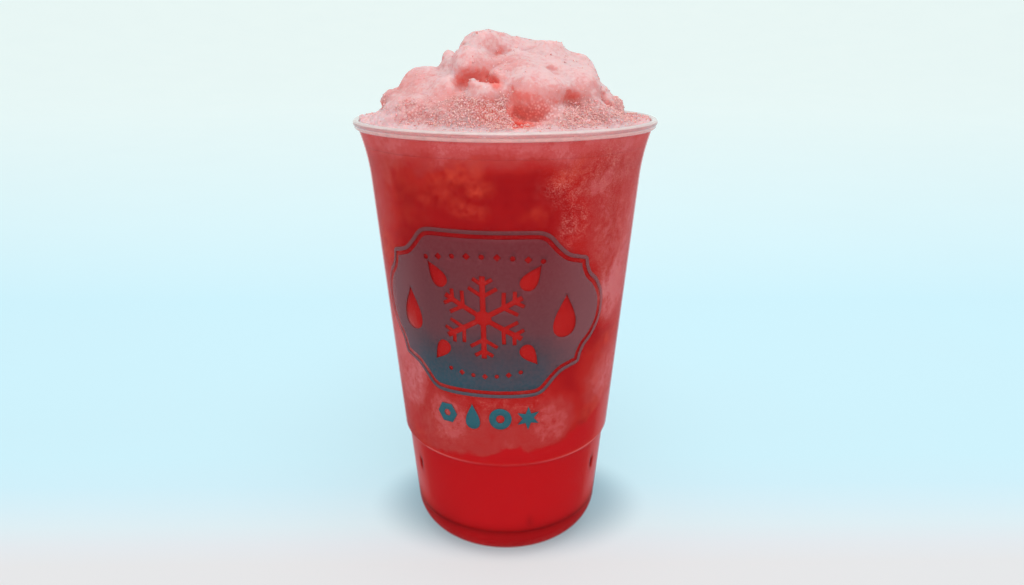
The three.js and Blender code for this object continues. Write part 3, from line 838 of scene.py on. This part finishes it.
def crownField():
    # signed distance to the crown's surface on a grid, with the grid's low corner and its step
    step, reach = crown["voxel"], crown["reach"]
    low = np.array([-reach, -reach, crown["floor"] - 3 * step])
    counts = np.ceil((np.array([reach, reach, crown["ceiling"]]) - low) / step).astype(int)
    axes = [low[i] + step * np.arange(counts[i]) for i in range(3)]
    x, y, z = (v.astype(np.float32) for v in np.meshgrid(*axes, indexing="ij"))
    bent = swayed(x, y, z)

    def window(lump, extra):
        # the part of the grid that this lump can change
        spans = []
        for i in range(3):
            first, last = np.searchsorted(axes[i], [lump[i] - lump[i + 3] - extra, lump[i] + lump[i + 3] + extra])
            spans.append(slice(max(first - 1, 0), last + 1))
        return tuple(spans)

    field = lumpDistance(bent, crown["heap"])
    field = softMin(field, lumpDistance(bent, crown["bed"]), crown["bed"][6])
    for lump in allLumps():
        w = window(lump, lump[6] + 4)
        field[w] = softMin(field[w], lumpDistance([b[w] for b in bent], lump), lump[6])
    for hollow in crown["hollows"].values():
        w = window(hollow, hollow[6] + 3)
        field[w] = -softMin(-field[w], lumpDistance([b[w] for b in bent], hollow), hollow[6])

    # relief: uneven snow, finer and rougher on the foam that spreads to the rim
    near = np.abs(field) < 2.5
    spots = np.stack([x[near], y[near], z[near]], axis=-1).astype(float)
    foam = 1 - easeBetween(150, 156, spots[:, 2] + 2 * softNoise(spots, 6.0, 2.0))
    relief = np.zeros(len(spots))
    for deep, onFoam, size, start in crown["relief"]:
        relief += (deep + onFoam * foam) * softNoise(spots, size, start)
    field[near] -= relief.astype(np.float32)

    # the cup's mouth and the crown's floor
    mouth = np.hypot(x, y) - fillRadius(np.minimum(z, flareTop)).astype(np.float32)
    field = np.maximum(np.maximum(field, mouth), crown["floor"] - z)
    return field.astype(np.float32), low, step


crownTones = {
    "soakAndShadeTones": [(0.0, (217, 181, 181)), (0.25, (213, 150, 148)), (0.5, (212, 116, 109)), (0.75, (208, 80, 69)),
                (1.0, (194, 48, 38))],
    "dryFoam": ((242, 196, 192), (204, 108, 102)), "wetShadedFoam": ((214, 122, 114), (174, 52, 46)),
    "strip": (219, 182, 184), "glow": (255, 146, 134),
    "grains": [(0.34, (208, 118, 112)), (0.5, (230, 164, 160)), (0.66, (246, 212, 208))],
}
# Where red drink soaks the crown, with painted shade in its valleys, pit and holes and under the ball: middle, half
# size and strength
soakedAndShaded = {
    "underBall": (3.2, -32, 150.8, 8.6, 7, 5.0, 0.34),
    "leftMass": (-28, -10, 157, 13, 14, 8, 0.24),
    "ballFace": (5.6, -30, 155.6, 8.6, 8, 7, 0.24),
    "upperFront": (-1, -16, 165, 10, 10, 4, 0.2),
    "leftBank": (-16, -27, 156, 9, 9, 4, 0.24),
    "creaseFoam": (-8, -31, 153.8, 8, 9, 4, 0.5),
    "wetFoot": (2.8, -36, 148.6, 7.6, 7, 3.0, 1.0),
    "middleFoam": (-4.4, -33, 152, 7.6, 9, 5.6, 0.8),
    "valleyEnd": (-3.1, -26, 159.6, 2.6, 6, 1.9, 0.72),
    "leftValley": (-12.2, -24, 160.4, 3.6, 9, 2.8, 0.26),
    "rightValley": (-4.2, -22, 160.2, 4.4, 9, 3.2, 0.3),
    "dimple": (-0.8, -11, 169.6, 4.6, 6, 2.4, 0.02),
    "pit": (19.6, -24, 155.4, 3.0, 6, 2.3, 0.16),
    "rightHeel": (31, -14, 150.6, 5, 8, 3, 0.3),
    "leftHeel": (-37, -10, 152.4, 5, 9, 2.2, 0.34),
    "smallHole": (-32, -13, 150.0, 2.6, 3, 1.5, 0.6),
    "backLow": (4, 34, 150, 30, 10, 3, 0.4),
}


def makeCrownMaterial():
    look = Look("pinkSlushCrown")
    # redder where the slush is soaked and where shade is painted
    soakAndShade = look.painted("soakAndShade")
    broad = look.stretch(look.noise(210, 3), 0.3, 0.7, -0.08, 0.08)
    snow = look.stretch(look.noise(900, 3, 0.65), 0.3, 0.7, -0.1, 0.1)
    level = look.plus(soakAndShade, 0.06, broad, snow, clamp=True)
    gaps = look.stretch(look.cells(1250), 0.2, 0.55)
    foamy = look.mix(look.stretch(soakAndShade, 0.25, 0.7), look.mix(gaps, *crownTones["dryFoam"]),
                     look.mix(gaps, *crownTones["wetShadedFoam"]))
    share = look.times(look.painted("foam"), look.stretch(look.noise(380, 3), 0.3, 0.6, 0.3, 1), clamp=True)
    share = look.times(share, look.stretch(level, 0.6, 0.95, 0.7, 0.1))
    base = look.mix(share, look.ramp(level, crownTones["soakAndShadeTones"]), foamy)
    rough = look.noise(1400, 2, 0.7)
    look.give({
        "Base Color": look.mix(look.painted("strip"), base, crownTones["strip"]),
        "Roughness": 0.6, "Specular IOR Level": 0.25,
        "Subsurface Weight": 0.85, "Subsurface Radius": [1.0, 0.4, 0.32], "Subsurface Scale": 0.0065,
        # light that has come through the slush reddens the hollows
        "Emission Color": crownTones["glow"], "Emission Strength": look.stretch(soakAndShade, 0.2, 0.7, 0.0, 0.18),
        "Normal": look.node("Bump", {"Strength": 0.5, "Distance": 0.0004, "Height": rough})[0],
    })
    return look.material


def makeGrainMaterial():
    look = Look("iceGrains")
    look.give({
        "Base Color": look.ramp(look.noise(2400, 2), crownTones["grains"]), "Roughness": 0.3,
        "Specular IOR Level": 0.5, "Subsurface Weight": 0.3, "Subsurface Scale": 0.0008,
    })
    return look.material


def octahedron():
    points = np.array([(1, 0, 0), (-1, 0, 0), (0, 1, 0), (0, -1, 0), (0, 0, 1), (0, 0, -1)], float)
    return points, [(0, 2, 4), (2, 1, 4), (1, 3, 4), (3, 0, 4), (2, 0, 5), (1, 2, 5), (3, 1, 5), (0, 3, 5)]


def icosahedron():
    gold = (1 + 5 ** 0.5) / 2
    points = np.array([(-1, gold, 0), (1, gold, 0), (-1, -gold, 0), (1, -gold, 0), (0, -1, gold), (0, 1, gold),
                       (0, -1, -gold), (0, 1, -gold), (gold, 0, -1), (gold, 0, 1), (-gold, 0, -1), (-gold, 0, 1)])
    faces = [(0, 11, 5), (0, 5, 1), (0, 1, 7), (0, 7, 10), (0, 10, 11), (1, 5, 9), (5, 11, 4), (11, 10, 2),
             (10, 7, 6), (7, 1, 8), (3, 9, 4), (3, 4, 2), (3, 2, 6), (3, 6, 8), (3, 8, 9), (4, 9, 5),
             (2, 4, 11), (6, 2, 10), (8, 6, 7), (9, 8, 1)]
    return points / np.linalg.norm(points[0]), faces


grains = {
    "fine": {"shape": octahedron, "count": 12500, "size": (0.1, 0.24), "seed": 5},
    "bubbles": {"shape": icosahedron, "count": 4600, "size": (0.2, 0.42), "seed": 9},
}


def paintCrown(piece, points, normals, field, low, step):
    # how soaked and how shaded each point of the crown is, with painted shade in the hollows and under the lumps, and
    # how foamy
    inside = (field < 0).astype(np.float32)

    def crowded(radius, away):
        # how much slush there is within about this radius of a spot this far outside the surface
        blurred = blurBox(blurBox(inside, int(radius / step)), int(radius / step))
        spots = (points + normals * away - low) / step
        return blended(blurred, np.clip(spots, 0, np.array(blurred.shape) - 1.001))

    x, y, z = points.T
    # painted shade in the hollows: more slush close round a point makes it redder
    hollow = np.clip((0.6 * crowded(2.2, 1.6) + 0.4 * crowded(4.4, 2.5) - 0.27) / 0.4, 0, 1)
    foam = 1 - easeBetween(150.5, 156.5, z + 2.5 * softNoise(points, 5.0, 2.0))
    # under the front crest the foam reaches higher
    high = easeBetween(-20, -16, x) * (1 - easeBetween(-1, 3, x)) * (y < -20)
    foam = np.maximum(foam, high * (1 - easeBetween(155.5, 157.5, z + softNoise(points, 3.0, 2.0))))
    drift = np.stack([softNoise(points, 4.0, shift) for shift in (1.0, 5.0, 9.0)], axis=-1)
    red = np.zeros(len(points))
    for soakShadeSpot in soakedAndShaded.values():
        away = (points + 1.2 * drift - soakShadeSpot[:3]) / soakShadeSpot[3:6]
        red = np.maximum(red, soakShadeSpot[6] * (1 - easeBetween(0.2, 1.25, np.linalg.norm(away, axis=1))))
    # less painted shade low down at the right
    shadeScale = 1 - 0.45 * easeBetween(13, 18, x) * (1 - easeBetween(153, 156, z)) * (y < 0)
    # painted shade on faces that look downwards
    under = 0.34 * easeBetween(-0.8, 0.6, -normals[:, 2])
    soakAndShade = 1 - (1 - 0.44 * hollow * shadeScale) * (1 - red) * (1 - under * shadeScale)
    strip = 0.8 * easeBetween(38.5, 43, np.hypot(x, y)) * easeBetween(0, 8, -y)
    storeValues(piece, "soakAndShade", np.clip(soakAndShade, 0, 1))
    storeValues(piece, "foam", foam)
    storeValues(piece, "strip", strip * (1 - 0.8 * easeBetween(0.5, 0.85, soakAndShade)))
    paintDrink(piece, points)
    return soakAndShade, foam


def scatterGrains(points, normals, soakAndShade, foam):
    # grains and bubbles on the foam, thinning out upwards
    x, y, z = points.T
    reach = np.hypot(x, y)
    weight = np.where((reach < 45.6) & (z > 146.2) & (normals[:, 2] > -0.2), 0.015 + 0.985 * foam, 0)
    weight *= 0.45 + 0.55 * easeBetween(-0.25, 0.35, softNoise(points, 3.2, 6.0))
    weight *= 1 - 0.85 * easeBetween(0.6, 0.9, soakAndShade)
    # most of them in front of the middle and at the right, few on the ball and near the rim
    middle = easeBetween(-19, -13, x) * (1 - easeBetween(4, 9, x))
    front = np.where(y < 0, np.maximum(0.2, np.maximum(middle, 0.85 * easeBetween(12, 18, x))), 0.6)
    ball = np.linalg.norm((points - (8.4, -30, 153.6)) / (9.0, 8.5, 6.4), axis=1)
    front *= 0.012 + 0.988 * easeBetween(0.88, 1.08, ball)
    front *= 1 - 0.8 * easeBetween(40, 43, reach) * (y < 0)
    weight *= front * (0.3 + 0.7 * easeBetween(147.8, 149.6, z))

    material = makeGrainMaterial()
    for name, kind in grains.items():
        count = kind["count"]
        picker = np.random.default_rng(kind["seed"])
        chosen = picker.choice(len(points), count, replace=False, p=weight / weight.sum())
        ball, ballFaces = kind["shape"]()
        small, big = kind["size"]
        sizes = small + (big - small) * picker.random(count) ** 2
        squash = 0.75 + 0.5 * picker.random((count, 1, 3))
        centres = points[chosen] + normals[chosen] * (sizes * 0.15)[:, None]
        allPoints = centres[:, None] + ball[None] * sizes[:, None, None] * squash
        allFaces = np.array(ballFaces)[None] + np.arange(count)[:, None, None] * len(ball)
        makePiece(name + "Grains", allPoints.reshape(-1, 3), allFaces.reshape(-1, 3), material)
    print("grains scattered")


def makeCrown(slushMaterial):
    field, low, step = crownField()
    grid = openvdb.FloatGrid(3.0)
    grid.copyFromArray(field)
    points, quads = grid.convertToQuads(isovalue=0.0)
    points = points * step + low
    piece = makePiece("crownSlush", points, quads, makeCrownMaterial(), ["crown"])
    mesh = piece.data

    # outward normals
    normals = np.zeros(len(mesh.vertices) * 3)
    mesh.vertices.foreach_get("normal", normals)
    normals = normals.reshape(-1, 3)
    if (normals[points[:, 2] > 160][:, 2]).mean() < 0:
        mesh.flip_normals()
        normals = -normals
    soakAndShade, foam = paintCrown(piece, points, normals, field, low, step)

    # the crown's side behind the cup's wall looks like the slush below it
    corners = points[np.array(quads)]
    behindWall = (np.hypot(corners[..., 0], corners[..., 1]).min(1) > 44.6) & (corners[..., 2].max(1) < 145.9)
    mesh.materials.append(slushMaterial)
    mesh.polygons.foreach_set("material_index", behindWall.astype(np.int32))
    print("crown heaped:", len(mesh.polygons), "faces")
    scatterGrains(points, normals, soakAndShade, foam)


# Print on the cup: a plaque with a thin keyline, and a row of small marks under it

badge = {"bearing": -9.5, "height": 93.4, "lift": 0.05, "thickness": 0.03, "grid": 1.6, "gridShift": (0.137, 0.071)}
plaque = {
    "halfWide": 41.3, "halfTall": 27.3, "rounds": 3, "cut": 0.22, "keyline": 1.2, "fieldInset": 2.5,
    # from the middle of the right side up to the top: how far in from the side, and how high
    "corner": [(0.4, 0.0), (1.2, 5.0), (4.4, 10.0), (7.2, 12.2), (8.6, 15.0), (9.0, 17.8), (12.4, 18.6), (15.8, 19.6),
               (18.8, 22.4), (21.4, 25.6), (24.0, 27.0), (28.0, 27.3)],
}


def plaqueOutline():
    # a traditional plaque: long sides with stepped, scooped corners
    right = [(plaque["halfWide"] - x, y) for x, y in plaque["corner"]]
    loop = right + [(0.0, plaque["halfTall"])] + [(-x, y) for x, y in right[::-1]]
    loop = np.array(loop + [(x, -y) for x, y in loop[-2:0:-1]])
    for _ in range(plaque["rounds"]):
        after = np.roll(loop, -1, axis=0)
        cut = plaque["cut"]
        loop = np.stack([(1 - cut) * loop + cut * after, cut * loop + (1 - cut) * after], axis=1).reshape(-1, 2)
    return loop


def insetLoop(loop, distance):
    # moves each point of a counter-clockwise loop inwards
    before, after = np.roll(loop, 1, axis=0), np.roll(loop, -1, axis=0)
    along = after - before
    along /= np.maximum(np.linalg.norm(along, axis=1), 1e-9)[:, None]
    inward = np.stack([-along[:, 1], along[:, 0]], axis=-1)
    return loop + inward * distance


def discLoop(centre, radius, count=40):
    turn = np.linspace(0, 2 * math.pi, count, endpoint=False)
    return centre + radius * np.stack([np.cos(turn), np.sin(turn)], axis=-1)


def dropLoop(centre, size, turn=0.0, count=48):
    # a pointed drop, tip upwards
    t = np.linspace(0, 2 * math.pi, count, endpoint=False)
    x, y = 0.8 * np.sin(t) * np.sin(t / 2) ** 1.5, np.cos(t)
    c, s = math.cos(turn), math.sin(turn)
    return centre + size * np.stack([x * c - y * s, x * s + y * c], axis=-1)


def barLoop(start, end, width):
    start, end = np.array(start, float), np.array(end, float)
    along = (end - start) / np.linalg.norm(end - start)
    side = np.array([-along[1], along[0]]) * width / 2
    return np.array([start + side, start - side, end - side, end + side])


def inLoops(points, loops):
    # even-odd test: which points lie inside an odd number of loops
    x, y = points.T
    inside = np.zeros(len(points), bool)
    for loop in loops:
        for (x0, y0), (x1, y1) in zip(loop, np.roll(loop, -1, axis=0)):
            if y0 != y1:
                inside ^= ((y0 > y) != (y1 > y)) & (x < x0 + (y - y0) * (x1 - x0) / (y1 - y0))
    return inside


def printOnWall(name, loops, material, solid=()):
    # triangles inside the loops, wrapped onto the wall; loops in solid are cut out on their own
    corners, edges = [], []
    for loop in [*loops, *solid]:
        start, count = len(corners), len(loop)
        corners += [Vector(p) for p in loop]
        edges += [(start + i, start + (i + 1) % count) for i in range(count)]
    # a grid of points inside lets the print follow the wall's curve
    spans = [np.arange(min(side), max(side), badge["grid"]) for side in zip(*corners)]
    right, up = badge["gridShift"]
    corners += [Vector((x + right, y + up)) for y in spans[1] for x in spans[0]]
    points, _, triangles, _, _, _ = delaunay_2d_cdt(corners, edges, [], 0, 1e-5)
    points, triangles = np.array([tuple(p) for p in points]), np.array(triangles)
    middles = points[triangles].mean(1)
    keep = inLoops(middles, loops)
    for loop in solid:
        keep &= ~inLoops(middles, [loop])
    used, triangles = np.unique(triangles[keep], return_inverse=True)
    points, triangles = points[used], triangles.reshape(-1, 3)

    scale = math.radians(1) * float(cupRadius(badge["height"]))
    bearing = badge["bearing"] + points[:, 0] / scale
    z = badge["height"] + points[:, 1]
    piece = makePiece(name, atBearing(cupRadius(z) + badge["lift"], bearing, z), triangles, material)
    # the print turns paler and thinner towards its ends
    storeValues(piece, "ends", 0.5 * easeBetween(12, 42, bearing) + 0.8 * easeBetween(40, 48.5, bearing)
                + 0.45 * easeBetween(34, 54, -bearing) + 0.8 * easeBetween(54, 63, -bearing))
    film = piece.modifiers.new("inkFilm", "SOLIDIFY")
    film.thickness = badge["thickness"] * mm
    film.offset = -1


inks = {
    # colours from the print's foot up, how solid it is, and the tone of its mottling
    "plaque": {"tones": [(0.0, (44, 82, 96)), (0.12, (54, 74, 86)), (0.24, (76, 65, 73)), (0.4, (107, 58, 64)),
                         (0.7, (114, 50, 56)), (1.0, (115, 40, 47))], "solid": 0.9, "mottle": (140, 84, 88)},
    "keyline": {"tones": [(0.0, (80, 82, 92)), (0.3, (106, 68, 74)), (1.0, (122, 56, 60))], "solid": 0.8,
                "mottle": (150, 110, 112)},
    "mark": {"tones": [(0.0, (40, 96, 108)), (1.0, (44, 92, 104))], "solid": 0.93, "mottle": (96, 96, 104)},
}
endInk = (164, 104, 110)


def makeInkMaterial(name):
    ink = inks[name]
    look = Look(name + "Ink")
    cloud = look.noise(60, 3)
    level = look.plus(look.stretch(look.height, 0.066, 0.121), look.stretch(cloud, 0.3, 0.7, -0.07, 0.07),
                      look.stretch(look.across, -0.03, 0.03, -0.09, 0.09), clamp=True)
    base = look.ramp(level, ink["tones"], smooth=False)
    base = look.mix(look.stretch(look.noise(1100, 2), 0.3, 0.7, 0, 0.14), base, ink["mottle"])
    ends = look.painted("ends")
    solid = look.stretch(cloud, 0.3, 0.7, ink["solid"] - 0.04, ink["solid"] + 0.04)
    look.give({
        "Base Color": look.mix(look.times(ends, 0.9, clamp=True), base, endInk), "Roughness": 0.5,
        "Specular IOR Level": 0.1, "Alpha": look.minus(solid, look.times(ends, 0.36), clamp=True),
    })
    return look.material


motif = {
    "starArm": 13.5, "starHub": 2.6, "armWidth": 1.7, "twigs": [(0.52, 5.0), (0.8, 3.4)], "twigWidth": 1.25,
    "twigLean": 58,
    # x, y, size and turn
    "drops": [(-25.5, -0.5, 7.2, 0), (25.5, -0.5, 7.2, 0), (-14.5, 13.0, 4.6, 0.6), (14.5, 13.0, 4.6, -0.6),
              (-14.5, -12.6, 4.2, 2.5), (14.5, -12.6, 4.2, -2.5)],
    "dotRows": [{"count": 9, "reach": 17.5, "level": 19.4, "size": 0.95},
                {"count": 7, "reach": 11.5, "level": -19.8, "size": 0.85}],
    "marks": {"level": -35.0, "pitch": 9.6, "size": 3.85},
}


def makePrint():
    outer = plaqueOutline()
    printOnWall("plaqueKeyline", [outer, insetLoop(outer, plaque["keyline"])], makeInkMaterial("keyline"))

    # the field, with simple ice motifs left open so that the drink shows through
    openings = [discLoop((0, 0), motif["starHub"], 6)]
    for i in range(6):
        turn = math.radians(60 * i + 30)
        along = np.array([math.cos(turn), math.sin(turn)])
        openings.append(barLoop(along * (motif["starHub"] - 0.6), along * motif["starArm"], motif["armWidth"]))
        for part, reach in motif["twigs"]:
            for side in (-1, 1):
                lean = turn + side * math.radians(motif["twigLean"])
                start = along * motif["starArm"] * part
                end = start + reach * np.array([math.cos(lean), math.sin(lean)])
                openings.append(barLoop(start, end, motif["twigWidth"]))
    openings += [dropLoop((x, y), size, turn) for x, y, size, turn in motif["drops"]]
    for row in motif["dotRows"]:
        for i, x in enumerate(np.linspace(-row["reach"], row["reach"], row["count"])):
            size, corners = (1.25, 4) if i % 2 else (0.85, 16)
            bend = -1.6 * (x / row["reach"]) ** 2 * np.sign(row["level"])
            openings.append(discLoop((x, row["level"] + bend), row["size"] * size, corners))
    printOnWall("plaqueField", [insetLoop(outer, plaque["fieldInset"])], makeInkMaterial("plaque"), openings)

    # a row of small marks below the plaque: a six-sided ring, a drop, a round ring and a star
    level, size = motif["marks"]["level"], motif["marks"]["size"]
    spots = [(i - 1.5) * motif["marks"]["pitch"] for i in range(4)]
    loops = [discLoop((spots[0], level), size, 6), discLoop((spots[0], level), size * 0.34, 6)]
    loops += [dropLoop((spots[1], level + 0.3), size * 1.2), discLoop((spots[2], level), size)]
    loops += [discLoop((spots[2], level), size * 0.38)]
    turn = np.linspace(0, 2 * math.pi, 12, endpoint=False)
    star = np.where(np.arange(12) % 2, 0.5, 1.12) * size
    loops.append(np.stack([spots[3] + star * np.sin(turn), level + star * np.cos(turn)], axis=-1))
    printOnWall("lowMarks", loops, makeInkMaterial("mark"))
    print("print laid on the wall")


setCamera()
setStudio()
makeCup()
redSlush = makeFilling()
makeCrown(redSlush)
makePrint()

bpy.context.view_layer.update()
